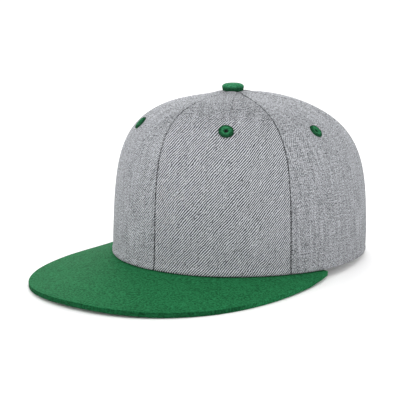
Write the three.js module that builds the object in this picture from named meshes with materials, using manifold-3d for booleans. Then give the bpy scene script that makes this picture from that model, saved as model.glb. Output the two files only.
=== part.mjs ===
// A six-panel snapback cap as it rests on a table: +Z up, the brim towards -Y, millimetres.
// Left and right are the wearer's, so the wearer's left is +X.
import * as THREE from "three";
import { mergeVertices } from "three/addons/utils/BufferGeometryUtils.js";
import Module from "manifold-3d";

const wasm = await Module();
wasm.setup();

const DEGREE = Math.PI / 180;

// The gap that sewn or touching pieces keep, and the gap between two panels along a seam
const CLEARANCE = 0.3;
const SEAM_GAP = 0.3;

// The rim is two half ellipses that meet on the line between the ears, where y is 0
const RIM_HALF_WIDTH = 85.5;
const RIM_FRONT_REACH = 98;
const RIM_BACK_REACH = 106;
// The rim is flat on the table from this angle to the back, and rises towards the brim
const RIM_FLAT_FROM = 135 * DEGREE;
const RIM_FRONT_RISE = 8.7;
const RIM_RISE_POWER = 0.7;

// The crown over the rim
const CROWN_HEIGHT = 118.8;
const CROWN_WALL = 2;
const TOP_FORWARD = 9;
const TOP_HOLE_RADIUS = 4;
// The seams draw the panels up into a slight peak under the button
const PEAK_RISE = 2.3;
const PEAK_POWER = 6;
// Towards the top the panels are flatter between their seams: 0 is round, and 1 is flat as a hexagon's side
const PANEL_FLATNESS = 0.3;
const HALF_HEXAGON_SIDE = 30 * DEGREE;
// Outline of the crown in each direction: out^outPower + rise^risePower = 1, and how much it leans in
const CROWN_OUTLINE = {
  front: { outPower: 3.08, risePower: 5.3, lean: 0.047 },
  side: { outPower: 2.09, risePower: 4.57, lean: 0.011 },
  back: { outPower: 2.63, risePower: 2.96, lean: -0.025 },
};

// Seams run up from the rim at these angles from the front, on both sides
const FRONT_SEAM = 0;
const TEMPLE_SEAM = 61.5 * DEGREE;
const REAR_SEAM = 121 * DEGREE;
const BACK_SEAM = 180 * DEGREE;
// Each panel's eyelet sits at a share of its width
const PANELS = [
  { name: "front", from: FRONT_SEAM, to: TEMPLE_SEAM, eyeletAcross: 0.53 },
  { name: "side", from: TEMPLE_SEAM, to: REAR_SEAM, eyeletAcross: 0.44 },
  { name: "back", from: REAR_SEAM, to: BACK_SEAM, eyeletAcross: 0.5 },
];
const PANEL_COLUMNS = 12;
const PANEL_ROWS = 16;
// The cloth turns in towards each seam and leaves a groove
const SEAM_GROOVE_DEPTH = 0.9;
const SEAM_GROOVE_WIDTH = 2.4;

// Sewn eyelets, at a share of each panel's height
const EYELET_UP = 0.585;
const EYELET_RADIUS = 4.8;
const EYELET_HOLE_RADIUS = 1.4;
const EYELET_THREAD = 1.2;
const EYELET_RAISE = 1.1;
const EYELET_SIDES = 14;

// Covered button, whose rivet goes through the hole at the top
const BUTTON_RADIUS = 7.7;
const BUTTON_HEIGHT = 5.8;
const BUTTON_SKIRT = 2.6;
const BUTTON_WASHER_RADIUS = 6;
const BUTTON_WASHER = 1;
const BUTTON_SIDES = 24;

// Flat brim: its outline is a fuller ellipse that is widest behind the crown's front
const BRIM_THICKNESS = 3.2;
const BRIM_LENGTH = 78;
const BRIM_HALF_WIDTH = 90.6;
const BRIM_WIDEST_FORWARD = 62.6;
const BRIM_OUTLINE_POWER = 2.26;
// It reaches back along the rim to the first angle, where its outline has turned to the second
const BRIM_RIM_END = 80 * DEGREE;
const BRIM_OUTLINE_END = 111 * DEGREE;
// It falls towards its tip, in mm for each mm, and its sides droop below its middle
const BRIM_FALL = 0.046;
const BRIM_DROOP = 5.7;
const BRIM_COLUMNS = 44;
// Rows from the rim out, and how much of half the thickness the rounded edge has lost there
const BRIM_ROWS = [
  { out: 0, rounding: 0 },
  { out: 0.25, rounding: 0 },
  { out: 0.5, rounding: 0 },
  { out: 0.75, rounding: 0 },
  { out: 0.96, rounding: 0 },
  { out: 0.985, rounding: 0.25 },
  { out: 1, rounding: 0.7 },
];

// Sweatband inside the rim
const SWEATBAND_HEIGHT = 32;
const SWEATBAND_WALL = 1.3;
const SWEATBAND_GAP = 0.5;
const SWEATBAND_COLUMNS = 44;
const SWEATBAND_ROWS = 3;

// Arched opening at the back, and the two plastic straps that snap across it
const OPENING_HALF_WIDTH = 50;
const OPENING_HEIGHT = 60;
const STRAP_HEIGHT = 19;
const STRAP_BOTTOM = 1.5;
const STRAP_THICKNESS = 1.2;
const STRAP_TAB = 13;
const STRAP_TIP = 5.5;
const STRAP_STEP = 4.5;
const SNAP_PITCH = 9;
const SNAPS_EACH = 7;
const SNAPS_FASTENED = 5;
const PEG_RADIUS = 1.5;
const PEG_HEAD_RADIUS = 2.2;
const PEG_HEAD_HEIGHT = 1.1;
const PEG_SIDES = 12;

const heather = { color: 0xa9abae, roughness: 0.95, metalness: 0 };
const greenTwill = { color: 0x267048, roughness: 0.9, metalness: 0 };
const greenThread = { color: 0x1f6a3e, roughness: 0.7, metalness: 0 };
const greyTape = { color: 0x8f9194, roughness: 0.95, metalness: 0 };
const greenPlastic = { color: 0x1d6b3c, roughness: 0.4, metalness: 0 };

function mesh(name, geometry, finish) {
  const made = new THREE.Mesh(geometry, new THREE.MeshStandardMaterial(finish));
  made.name = name;
  return made;
}

// A closed geometry as a manifold solid, and back
function toSolid(geometry) {
  const bare = geometry.clone();
  bare.deleteAttribute("normal");
  bare.deleteAttribute("uv");
  const merged = mergeVertices(bare, 1e-4);
  return new wasm.Manifold(
    new wasm.Mesh({
      numProp: 3,
      vertProperties: merged.attributes.position.array,
      triVerts: new Uint32Array(merged.index.array),
    }),
  );
}

function toGeometry(solid) {
  const { vertProperties, triVerts } = solid.getMesh();
  const geometry = new THREE.BufferGeometry();
  geometry.setAttribute("position", new THREE.BufferAttribute(vertProperties, 3));
  geometry.setIndex(new THREE.BufferAttribute(triVerts, 1));
  geometry.computeVertexNormals();
  return geometry;
}

// A closed wall between two grids of points. Seen from outside, columns run to the right and rows up.
function wallBetween(columns, rows, outerPoint, innerPoint) {
  const positions = [];
  for (const point of [outerPoint, innerPoint]) {
    for (let column = 0; column <= columns; column++) {
      for (let row = 0; row <= rows; row++) positions.push(...point(column, row).toArray());
    }
  }
  const outer = (column, row) => column * (rows + 1) + row;
  const inner = (column, row) => outer(column, row) + (columns + 1) * (rows + 1);
  const faces = [];
  const quad = (a, b, c, d) => faces.push(a, b, c, a, c, d);
  for (let column = 0; column < columns; column++) {
    for (let row = 0; row < rows; row++) {
      quad(outer(column, row), outer(column + 1, row), outer(column + 1, row + 1), outer(column, row + 1));
      quad(inner(column, row + 1), inner(column + 1, row + 1), inner(column + 1, row), inner(column, row));
    }
    quad(inner(column, 0), inner(column + 1, 0), outer(column + 1, 0), outer(column, 0));
    quad(outer(column, rows), outer(column + 1, rows), inner(column + 1, rows), inner(column, rows));
  }
  for (let row = 0; row < rows; row++) {
    quad(inner(0, row), outer(0, row), outer(0, row + 1), inner(0, row + 1));
    quad(outer(columns, row), inner(columns, row), inner(columns, row + 1), outer(columns, row + 1));
  }
  const geometry = new THREE.BufferGeometry();
  geometry.setAttribute("position", new THREE.Float32BufferAttribute(positions, 3));
  geometry.setIndex(faces);
  geometry.computeVertexNormals();
  return geometry;
}

// A shape turned about an axis, from radius and height pairs
function turned(profile, sides) {
  const geometry = new THREE.LatheGeometry(
    profile.map(([radius, height]) => new THREE.Vector2(radius, height)),
    sides,
  );
  return geometry.rotateX(Math.PI / 2);
}

// Stands a shape made along +Z on a point, with +Z along the given direction
function standOn(geometry, point, direction) {
  const turn = new THREE.Quaternion().setFromUnitVectors(new THREE.Vector3(0, 0, 1), direction);
  return geometry.applyQuaternion(turn).translate(point.x, point.y, point.z);
}

// The rim seen from above, moved inwards by an inset. Angle 0 is the front, and 90 degrees the wearer's left.
function rimPlan(angle, inset = 0) {
  const reach = Math.cos(angle) > 0 ? RIM_FRONT_REACH : RIM_BACK_REACH;
  const point = new THREE.Vector2(RIM_HALF_WIDTH * Math.sin(angle), -reach * Math.cos(angle));
  const outward = new THREE.Vector2(Math.sin(angle) / RIM_HALF_WIDTH, -Math.cos(angle) / reach);
  return point.addScaledVector(outward.normalize(), -inset);
}

function rimHeight(angle) {
  const share = Math.max(0, 1 - Math.abs(angle) / RIM_FLAT_FROM);
  return RIM_FRONT_RISE * Math.sin((share * Math.PI) / 2) ** RIM_RISE_POWER;
}

function crownOutline(angle) {
  const along = Math.cos(angle) ** 2;
  const end = Math.cos(angle) > 0 ? CROWN_OUTLINE.front : CROWN_OUTLINE.back;
  const mix = (key) => THREE.MathUtils.lerp(CROWN_OUTLINE.side[key], end[key], along);
  return { outPower: mix("outPower"), risePower: mix("risePower"), lean: mix("lean") };
}

// How near the axis a hexagon's side comes at an angle, as a share of its corners' distance
function flatSide(angle) {
  const turn = Math.abs(angle);
  const { from, to } = PANELS.find((panel) => turn <= panel.to) ?? PANELS.at(-1);
  const share = (2 * (turn - from)) / (to - from) - 1;
  return Math.cos(HALF_HEXAGON_SIDE) / Math.cos(HALF_HEXAGON_SIDE * share);
}

// The crown's outer face from the rim up to the hole at the top, at one angle
class Meridian extends THREE.Curve {
  constructor(angle, flatness = PANEL_FLATNESS) {
    super();
    this.rim = rimPlan(angle);
    this.base = rimHeight(angle);
    this.outline = crownOutline(angle);
    this.hollow = flatness * (1 - flatSide(angle));
    const topShare = (1 - this.outline.lean) * (1 - this.hollow);
    const reach = Math.hypot(this.rim.x, this.rim.y + TOP_FORWARD) * topShare;
    this.lastTurn = Math.acos((TOP_HOLE_RADIUS / reach) ** (this.outline.outPower / 2));
  }

  getPoint(t, target = new THREE.Vector3()) {
    const { outPower, risePower, lean } = this.outline;
    const turn = this.lastTurn * THREE.MathUtils.smoothstep(t, 0, 1);
    const rise = Math.sin(turn) ** (2 / risePower);
    const out = Math.cos(turn) ** (2 / outPower) * (1 - lean * rise) * (1 - this.hollow * rise ** 2);
    return target.set(
      this.rim.x * out,
      (this.rim.y + TOP_FORWARD) * out - TOP_FORWARD,
      THREE.MathUtils.lerp(this.base, CROWN_HEIGHT, rise) + PEAK_RISE * (1 - out) ** PEAK_POWER,
    );
  }
}

const meridians = new Map();
const roundMeridians = new Map();

function meridian(angle) {
  if (!meridians.has(angle)) meridians.set(angle, new Meridian(angle));
  return meridians.get(angle);
}

// A meridian of the crown as it would be without flat sides
function roundMeridian(angle) {
  if (!roundMeridians.has(angle)) roundMeridians.set(angle, new Meridian(angle, 0));
  return roundMeridians.get(angle);
}

// The walls face outwards as on a round crown, so that two of them meet squarely at a seam
function crownNormal(angle, up) {
  const step = 1e-3;
  const height = THREE.MathUtils.clamp(up, step, 1 - step);
  const across = roundMeridian(angle + step)
    .getPointAt(height)
    .sub(roundMeridian(angle - step).getPointAt(height));
  const along = roundMeridian(angle)
    .getPointAt(height + step)
    .sub(roundMeridian(angle).getPointAt(height - step));
  return across.cross(along).normalize();
}

// A point on the crown at a share of the way up from the rim, moved inwards by an inset
function crownPoint(angle, up, inset = 0) {
  const point = meridian(angle).getPointAt(up);
  const moved = point.clone().addScaledVector(crownNormal(angle, up), -inset);
  if (up === 0) moved.z = point.z;
  return moved;
}

// Horizontal distance from the crown's upright axis
function fromAxis(point) {
  return Math.hypot(point.x, point.y + TOP_FORWARD);
}

// Height of the crown's outer face at a small distance from its axis, lowest of all directions
function topHeight(radius) {
  const around = [0, 60, 120, 180].map((degrees) => {
    const curve = meridian(degrees * DEGREE);
    let up = 1;
    while (fromAxis(curve.getPointAt(up)) < radius) up -= 0.002;
    return curve.getPointAt(up).z;
  });
  return Math.min(...around);
}

function panelGeometry({ from, to }) {
  // Columns crowd towards the seams, where the groove is
  const across = (column) => (1 - Math.cos((column / PANEL_COLUMNS) * Math.PI)) / 2;
  const angleAt = (column, row) => {
    const up = row / PANEL_ROWS;
    const trim = (seam) => SEAM_GAP / 2 / fromAxis(meridian(seam).getPointAt(up));
    return THREE.MathUtils.lerp(from + trim(from), to - trim(to), across(column));
  };
  const groove = (column, row) => {
    const share = across(column);
    const width = (to - from) * fromAxis(crownPoint((from + to) / 2, row / PANEL_ROWS));
    const toSeam = Math.min(share, 1 - share) * width;
    return SEAM_GROOVE_DEPTH * Math.exp(-((toSeam / SEAM_GROOVE_WIDTH) ** 2));
  };
  return wallBetween(
    PANEL_COLUMNS,
    PANEL_ROWS,
    (column, row) => crownPoint(angleAt(column, row), row / PANEL_ROWS, groove(column, row)),
    (column, row) => crownPoint(angleAt(column, row), row / PANEL_ROWS, CROWN_WALL),
  );
}

// Tool that cuts the arched opening through the back wall
function openingCutter() {
  const below = RIM_FRONT_RISE;
  const arch = new THREE.Shape();
  arch.moveTo(OPENING_HALF_WIDTH, -below);
  arch.lineTo(OPENING_HALF_WIDTH, 0);
  arch.absellipse(0, 0, OPENING_HALF_WIDTH, OPENING_HEIGHT, 0, Math.PI);
  arch.lineTo(-OPENING_HALF_WIDTH, -below);
  const depth = RIM_BACK_REACH;
  const geometry = new THREE.ExtrudeGeometry(arch, { depth, bevelEnabled: false, curveSegments: 24 });
  return toSolid(geometry.rotateX(Math.PI / 2).translate(0, depth * 1.5, 0));
}

function eyeletPlace({ from, to, eyeletAcross }) {
  const angle = THREE.MathUtils.lerp(from, to, eyeletAcross);
  return { point: crownPoint(angle, EYELET_UP), outward: crownNormal(angle, EYELET_UP) };
}

function eyeletCutter(panel) {
  const { point, outward } = eyeletPlace(panel);
  const radius = EYELET_HOLE_RADIUS + EYELET_THREAD + CLEARANCE;
  const geometry = new THREE.CylinderGeometry(radius, radius, CROWN_WALL * 4, EYELET_SIDES);
  return toSolid(standOn(geometry.rotateX(Math.PI / 2), point, outward));
}

function eyeletGeometry(panel) {
  const { point, outward } = eyeletPlace(panel);
  const tube = EYELET_HOLE_RADIUS + EYELET_THREAD;
  const crest = (tube + EYELET_RADIUS) / 2;
  const profile = [
    [EYELET_HOLE_RADIUS, -CROWN_WALL],
    [tube, -CROWN_WALL],
    [tube, CLEARANCE],
    [EYELET_RADIUS, CLEARANCE],
    [EYELET_RADIUS, CLEARANCE + EYELET_RAISE * 0.3],
    [crest, EYELET_RAISE + CLEARANCE],
    [tube, EYELET_RAISE + CLEARANCE],
    [EYELET_HOLE_RADIUS, EYELET_RAISE * 0.5],
    [EYELET_HOLE_RADIUS, -CROWN_WALL],
  ];
  return standOn(turned(profile, EYELET_SIDES), point, outward);
}

function crownPieces() {
  const pieces = [];
  const cutter = openingCutter();
  for (const panel of PANELS) {
    const eyelet = eyeletGeometry(panel);
    const cut = toSolid(panelGeometry(panel)).subtract(cutter).subtract(eyeletCutter(panel));
    for (const [side, mirrored] of [
      ["left", false],
      ["right", true],
    ]) {
      const cloth = mirrored ? cut.mirror([1, 0, 0]) : cut;
      const thread = mirrored ? toGeometry(toSolid(eyelet).mirror([1, 0, 0])) : eyelet;
      pieces.push(mesh(`panel_${panel.name}_${side}`, toGeometry(cloth), heather));
      pieces.push(mesh(`eyelet_${panel.name}_${side}`, thread, greenThread));
    }
  }
  return pieces;
}

function buttonGeometry() {
  const shank = TOP_HOLE_RADIUS - CLEARANCE;
  const skirtBottom = topHeight(BUTTON_RADIUS) + CLEARANCE;
  const seat = CROWN_HEIGHT + PEAK_RISE + CLEARANCE;
  const washerTop = topHeight(BUTTON_WASHER_RADIUS) - CROWN_WALL - CLEARANCE * 2;
  const top = skirtBottom + BUTTON_HEIGHT;
  const profile = [
    [0, washerTop - BUTTON_WASHER],
    [BUTTON_WASHER_RADIUS, washerTop - BUTTON_WASHER],
    [BUTTON_WASHER_RADIUS, washerTop],
    [shank, washerTop],
    [shank, seat],
    [BUTTON_RADIUS - CROWN_WALL, seat],
    [BUTTON_RADIUS - CROWN_WALL / 2, skirtBottom],
    [BUTTON_RADIUS - CLEARANCE, skirtBottom],
    [BUTTON_RADIUS, skirtBottom + BUTTON_SKIRT / 2],
  ];
  // The cloth over the dome is a quarter ellipse from the skirt to the middle
  const domeSteps = 7;
  for (let step = 0; step <= domeSteps; step++) {
    const turn = (step / domeSteps) * (Math.PI / 2);
    const rise = (top - skirtBottom - BUTTON_SKIRT) * Math.sin(turn);
    profile.push([BUTTON_RADIUS * Math.cos(turn) ** 0.7, skirtBottom + BUTTON_SKIRT + rise]);
  }
  profile[profile.length - 1][0] = 0;
  return turned(profile, BUTTON_SIDES).translate(0, -TOP_FORWARD, 0);
}

// The brim's outline seen from above, by its own angle from the front
function brimOutline(angle) {
  const power = 2 / BRIM_OUTLINE_POWER;
  const bulge = (value) => Math.sign(value) * Math.abs(value) ** power;
  const tip = RIM_FRONT_REACH + BRIM_LENGTH;
  return new THREE.Vector2(
    BRIM_HALF_WIDTH * bulge(Math.sin(angle)),
    -BRIM_WIDEST_FORWARD - (tip - BRIM_WIDEST_FORWARD) * bulge(Math.cos(angle)),
  );
}

function brimGeometry() {
  const share = (column) => (column / BRIM_COLUMNS) * 2 - 1;
  const sag = ({ x, y }) => BRIM_FALL * y - BRIM_DROOP * (x / BRIM_HALF_WIDTH) ** 2;
  const outlineAt = (column) => brimOutline(share(column) * BRIM_OUTLINE_END);
  const allColumns = Array.from({ length: BRIM_COLUMNS + 1 }, (_, column) => column);
  const lowest = Math.min(...allColumns.map((column) => sag(outlineAt(column))));
  // Mid-thickness line from under the crown's wall out to the edge, which just touches the table
  const middle = (column, out) => {
    const angle = share(column) * BRIM_RIM_END;
    const root = rimPlan(angle, CROWN_WALL);
    const edge = outlineAt(column);
    const rootHeight = rimHeight(angle) - CLEARANCE - BRIM_THICKNESS / 2;
    const edgeHeight = Math.min(rootHeight, sag(edge) - lowest + BRIM_THICKNESS / 2);
    return new THREE.Vector3(
      THREE.MathUtils.lerp(root.x, edge.x, out),
      THREE.MathUtils.lerp(root.y, edge.y, out),
      THREE.MathUtils.lerp(rootHeight, edgeHeight, out),
    );
  };
  const face = (sign) => (column, row) => {
    const { out, rounding } = BRIM_ROWS[BRIM_ROWS.length - 1 - row];
    const point = middle(column, out);
    point.z += (sign * BRIM_THICKNESS * (1 - rounding)) / 2;
    return point;
  };
  return wallBetween(BRIM_COLUMNS, BRIM_ROWS.length - 1, face(1), face(-1));
}

// Angle on the rim at a distance along it from the middle of the back, towards the wearer's left
function backAngle(distance, inset) {
  const step = 0.25;
  let angle = BACK_SEAM;
  let walked = 0;
  const sign = Math.sign(distance);
  while (walked < Math.abs(distance)) {
    const next = angle - (sign * step) / RIM_BACK_REACH;
    walked += rimPlan(angle, inset).distanceTo(rimPlan(next, inset));
    angle = next;
  }
  return angle;
}

// The opening's edge lies this far along the rim from the middle of the back
function openingEdge() {
  return OPENING_HALF_WIDTH * (1 + (OPENING_HALF_WIDTH / RIM_BACK_REACH) ** 2 / 6);
}

const STRAP_END = openingEdge() + STRAP_TAB;
const OUTER_INSET = CROWN_WALL + CLEARANCE;
const INNER_INSET = OUTER_INSET + STRAP_THICKNESS + CLEARANCE;
const SNAP_REACH = (SNAP_PITCH * (SNAPS_FASTENED - 1)) / 2;

// A strap from its sewn tab to its free tip past the middle. Side 1 starts at the wearer's left, -1 at the right.
function strapGeometry(side, inset) {
  const length = STRAP_END + SNAP_REACH + STRAP_TIP;
  const columns = Math.round(length / STRAP_STEP);
  const distanceAt = (column) => STRAP_END - (column / columns) * length;
  // The tab lies against the crown, and the strap steps in to its own level past the opening's edge
  const insetAt = (distance) => {
    const past = THREE.MathUtils.smoothstep(openingEdge() - distance, 0, STRAP_TAB);
    return THREE.MathUtils.lerp(OUTER_INSET, inset, past);
  };
  const point = (depth) => (column, row) => {
    const distance = distanceAt(side > 0 ? column : columns - column);
    const level = insetAt(distance) + depth;
    const plan = rimPlan(backAngle(distance * side, INNER_INSET), level);
    return new THREE.Vector3(plan.x, plan.y, STRAP_BOTTOM + row * STRAP_HEIGHT);
  };
  return wallBetween(columns, 1, point(0), point(STRAP_THICKNESS));
}

// Snap places along a strap: the fastened ones about the middle, and the spare ones towards its tab
function snapDistances(side) {
  return Array.from({ length: SNAPS_EACH }, (_, index) => side * (index * SNAP_PITCH - SNAP_REACH));
}

function snapPlace(distance, inset) {
  const angle = backAngle(distance, INNER_INSET);
  const plan = rimPlan(angle, inset);
  const out = rimPlan(angle).sub(plan).normalize();
  return {
    point: new THREE.Vector3(plan.x, plan.y, STRAP_BOTTOM + STRAP_HEIGHT / 2),
    outward: new THREE.Vector3(out.x, out.y, 0),
  };
}

function pegStrap() {
  const side = 1;
  const headStart = STRAP_THICKNESS + CLEARANCE * 2;
  const profile = [
    [0, -STRAP_THICKNESS / 2],
    [PEG_RADIUS, -STRAP_THICKNESS / 2],
    [PEG_RADIUS, headStart],
    [PEG_HEAD_RADIUS, headStart + PEG_HEAD_HEIGHT * 0.4],
    [PEG_RADIUS, headStart + PEG_HEAD_HEIGHT],
    [0, headStart + PEG_HEAD_HEIGHT],
  ];
  let strap = toSolid(strapGeometry(side, INNER_INSET));
  for (const distance of snapDistances(side)) {
    const { point, outward } = snapPlace(distance, INNER_INSET);
    strap = strap.add(toSolid(standOn(turned(profile, PEG_SIDES), point, outward)));
  }
  return mesh("snap_strap_pegs", toGeometry(strap), greenPlastic);
}

function holeStrap() {
  const side = -1;
  const radius = PEG_RADIUS + CLEARANCE;
  let strap = toSolid(strapGeometry(side, OUTER_INSET));
  for (const distance of snapDistances(side)) {
    const { point, outward } = snapPlace(distance, OUTER_INSET);
    const drill = new THREE.CylinderGeometry(radius, radius, STRAP_THICKNESS * 4, PEG_SIDES);
    strap = strap.subtract(toSolid(standOn(drill.rotateX(Math.PI / 2), point, outward)));
  }
  return mesh("snap_strap_holes", toGeometry(strap), greenPlastic);
}

// The sweatband runs round inside the rim from one strap's tab to the other's
function sweatbandGeometry() {
  const end = backAngle(STRAP_END + CLEARANCE, INNER_INSET);
  const top = SWEATBAND_HEIGHT / meridian(0).getLength();
  const point = (depth) => (column, row) => {
    const angle = end * ((column / SWEATBAND_COLUMNS) * 2 - 1);
    const up = (row / SWEATBAND_ROWS) * top;
    const made = crownPoint(angle, up, CROWN_WALL + SWEATBAND_GAP + depth);
    if (row === 0) made.z += CLEARANCE;
    return made;
  };
  return wallBetween(SWEATBAND_COLUMNS, SWEATBAND_ROWS, point(0), point(SWEATBAND_WALL));
}

const cap = new THREE.Group();
cap.add(
  ...crownPieces(),
  mesh("top_button", buttonGeometry(), greenTwill),
  mesh("brim", brimGeometry(), greenTwill),
  mesh("sweatband", sweatbandGeometry(), greyTape),
  pegStrap(),
  holeStrap(),
);

// The frame's origin is on the table, under the middle of the cap
const bounds = new THREE.Box3().setFromObject(cap, true);
cap.position.y = -(bounds.min.y + bounds.max.y) / 2;

const part = new THREE.Group();
part.add(cap);
export default part;
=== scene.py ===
"""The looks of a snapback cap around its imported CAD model: metres, +Z up, the brim towards -Y."""

import bisect
import math

import bmesh
import bpy
from bpy.props import (
    FloatProperty,
    FloatVectorProperty,
    IntProperty,
    PointerProperty,
)
from mathutils import Matrix, Quaternion, Vector, noise


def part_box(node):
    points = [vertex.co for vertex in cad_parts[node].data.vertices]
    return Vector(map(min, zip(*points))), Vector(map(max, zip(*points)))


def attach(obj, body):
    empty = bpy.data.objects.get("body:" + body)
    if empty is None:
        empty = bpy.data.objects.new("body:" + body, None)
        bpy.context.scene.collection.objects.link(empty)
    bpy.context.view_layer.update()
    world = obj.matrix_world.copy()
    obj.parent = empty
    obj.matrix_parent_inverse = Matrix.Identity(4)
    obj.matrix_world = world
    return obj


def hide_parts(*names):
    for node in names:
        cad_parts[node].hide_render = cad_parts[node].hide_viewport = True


bl_info = {
    "name": "Snapback cap",
    "version": (1, 0, 0),
    "blender": (4, 5, 0),
    "location": "3D View > Sidebar > Cap",
    "description": "Models the cloth, thread and plastic of a snapback cap around its CAD frame",
    "category": "Object",
}

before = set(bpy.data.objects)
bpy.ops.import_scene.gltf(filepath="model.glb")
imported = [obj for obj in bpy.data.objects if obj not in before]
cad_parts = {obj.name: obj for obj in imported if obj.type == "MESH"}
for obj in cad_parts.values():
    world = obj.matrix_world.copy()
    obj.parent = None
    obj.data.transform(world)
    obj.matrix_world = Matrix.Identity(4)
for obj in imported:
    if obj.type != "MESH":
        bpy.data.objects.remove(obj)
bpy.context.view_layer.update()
BRIM_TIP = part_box("brim")[0].y
BUTTON_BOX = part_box("top_button")
BODY = "root"
BACKDROP = 1.1


def length(name, description, default):
    """A length in metres that a user can change."""
    return FloatProperty(name=name, description=description, default=default, unit="LENGTH", precision=5)


def angle(name, description, degrees):
    """An angle that a user can change, given in degrees."""
    return FloatProperty(name=name, description=description, default=math.radians(degrees), subtype="ANGLE")


def share(name, description, default):
    """A plain number that a user can change."""
    return FloatProperty(name=name, description=description, default=default, precision=4)


def count(name, description, default):
    """A whole number that a user can change."""
    return IntProperty(name=name, description=description, default=default, min=1)


def colour(name, description, default):
    """A linear colour that a user can change."""
    return FloatVectorProperty(
        name=name, description=description, default=default, subtype="COLOR", min=0, max=1
    )


class CapCrown(bpy.types.PropertyGroup):
    """Sizes of the sewn crown."""

    half_width: length("Rim half width", "From the middle to the rim over each ear", 0.0855)
    front_reach: length("Rim front reach", "From the line between the ears to the front of the rim", 0.098)
    back_reach: length("Rim back reach", "From the line between the ears to the back of the rim", 0.106)
    front_rise: length("Rim front rise", "Height of the rim over the table at the front", 0.0087)
    flat_from: angle("Rim flat from", "The rim lies on the table from here to the back", 135)
    rise_power: share("Rim rise power", "How soon the rim rises towards the brim", 0.7)
    height: length("Height", "From the table to the crown's top, without its peak", 0.1188)
    peak: length("Peak", "How far the seams draw the top up under the button", 0.0023)
    peak_power: share("Peak power", "How narrow the peak is", 6)
    flatness: share("Panel flatness", "0 is round between the seams, and 1 is flat as a hexagon's side", 0.3)
    top_forward: length("Top forward", "How far the top lies before the line between the ears", 0.009)
    top_hole: length("Top hole", "Radius of the hole under the button", 0.004)
    wall: length("Wall", "Thickness of the cloth with its backing", 0.0019)
    inner_room: length("Inner room", "The pieces inside the crown lie at least this deep", 0.002)
    seam_gap: length("Seam gap", "Gap between two panels along their seam", 0.00005)
    seam_reach: length("Seam reach", "How far from a seam the cloth gives way to the gap", 0.008)
    seam_roll: length("Seam roll", "Radius of the cloth's turn into a seam", 0.0011)
    seam_dip: length("Seam dip", "How far the cloth sinks beside a seam", 0.00045)
    seam_dip_width: length("Seam dip width", "How far from a seam the cloth sinks", 0.003)
    pucker: length("Pucker", "Height of the small waves along the seams", 0.00012)
    pucker_width: length("Pucker width", "How far from a seam the small waves reach", 0.004)
    pucker_waves: share("Pucker waves", "Turn of the small waves for each metre of seam", 900)
    pucker_drift: share("Pucker drift", "How unevenly the small waves follow one another", 5)
    pucker_noise: share("Pucker noise", "How soon that unevenness changes along the seam", 40)
    hem: length("Hem", "Height of the turned hem along the rim and the opening", 0.004)
    hem_rise: length("Hem rise", "How far the turned hem stands out", 0.0005)
    hem_step: length("Hem step", "Width of the slope over the turned hem", 0.0012)
    collar: length("Collar", "How far the cloth stands up round the button", 0.0007)
    collar_reach: length("Collar reach", "How far from the crown's axis it stands up", 0.0105)
    collar_width: length("Collar width", "How wide the raised cloth is", 0.0045)
    stretch: share("Stretch", "How much the cloth is stretched over the top", 0.14)
    stretch_from: share("Stretch from", "The stretch starts at this part of the way up", 0.4)
    tuck: length("Tuck", "How far the rim is drawn in at the back", 0.0012)
    tuck_from: angle("Tuck from", "The rim starts to be drawn in at this turn", 80)
    tuck_fade: angle("Tuck fade", "The rim is drawn in fully this far on", 30)
    tuck_height: length("Tuck height", "How far up from the rim the tuck is felt", 0.006)
    eyelet_dip: length("Eyelet dip", "How far the stitches draw the cloth in", 0.0004)
    eyelet_dip_width: length("Eyelet dip width", "How far from an eyelet's middle they draw it in", 0.0055)
    softness: length("Softness", "Height of the wide waves in the cloth", 0.0005)
    soft_waves: share("Soft waves", "How close together the wide waves lie", 24)
    columns: count("Columns", "Faces across each panel", 64)
    rows: count("Rows", "Faces up each panel", 104)
    column_crowding: share("Column crowding", "How much closer the columns lie at the seams", 0.85)
    row_crowding: share("Row crowding", "How much closer the rows lie at the rim, from 1 for evenly", 1.25)


class CapOpening(bpy.types.PropertyGroup):
    """Sizes of the arched opening and of the snap straps across it."""

    half_width: length("Half width", "Half the width of the arched opening", 0.05)
    height: length("Height", "Height of the arched opening", 0.06)
    sides: count("Sides", "Number of straight cuts that make the arch", 40)
    strap_height: length("Strap height", "Height of each snap strap", 0.019)
    strap_bottom: length("Strap bottom", "Height of the straps over the table", 0.0015)
    strap_wall: length("Strap wall", "Thickness of the strap plastic", 0.0012)
    strap_bevel: length("Strap bevel", "Width of the bevel along the straps' edges", 0.00025)
    strap_tab: length("Strap tab", "Length of the end sewn behind the crown", 0.013)
    strap_tip: length("Strap tip", "From the last snap to the strap's free end", 0.0055)
    tip_round: share("Tip round", "Length of the free end's rounding beside the strap's height", 0.35)
    tip_narrow: share("Tip narrow", "How much the rounding takes off the height", 0.45)
    strap_columns: count("Strap columns", "Faces along each strap", 110)
    strap_rows: count("Strap rows", "Faces up each strap", 14)
    clearance: length("Clearance", "Gap between touching pieces", 0.0003)
    snap_pitch: length("Snap pitch", "Distance between two snaps", 0.009)
    snaps: count("Snaps", "Number of snaps on each strap", 7)
    fastened: count("Fastened", "Number of snaps that are fastened", 5)
    peg: length("Peg", "Radius of a peg's neck", 0.0015)
    peg_head: length("Peg head", "Radius of a peg's head", 0.0022)


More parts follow.
